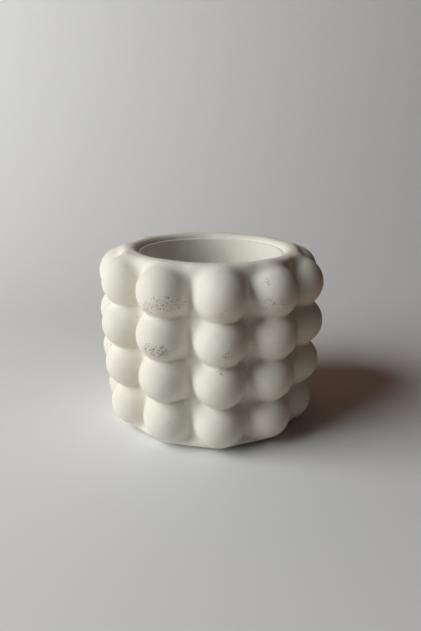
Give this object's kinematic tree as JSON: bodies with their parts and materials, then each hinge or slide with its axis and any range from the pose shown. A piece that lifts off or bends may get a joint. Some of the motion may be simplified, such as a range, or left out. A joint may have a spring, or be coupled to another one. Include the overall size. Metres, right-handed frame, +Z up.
{
  "type": "spoon holder",
  "caption": "Round cast crock for kitchen spoons, open at the top, with rows of half-round bubbles all over its outside and a stepped mouth, on thin rubber feet.",
  "frame": {"origin": "on the pot's axis, on the surface that the rubber feet stand on", "axes": "+Z up along the pot's axis, out of its mouth; -Y is the front, the side nearest the viewer in the picture"},
  "size_m": [0.1483, 0.1486, 0.1172],
  "materials": {
    "casting": "matte",
    "rubber": "matte"
  },
  "bodies": {
    "root": {"pot": "casting", "rubber_foot_1": "rubber", "rubber_foot_2": "rubber", "rubber_foot_3": "rubber", "rubber_foot_4": "rubber"}
  },
  "joints": []
}
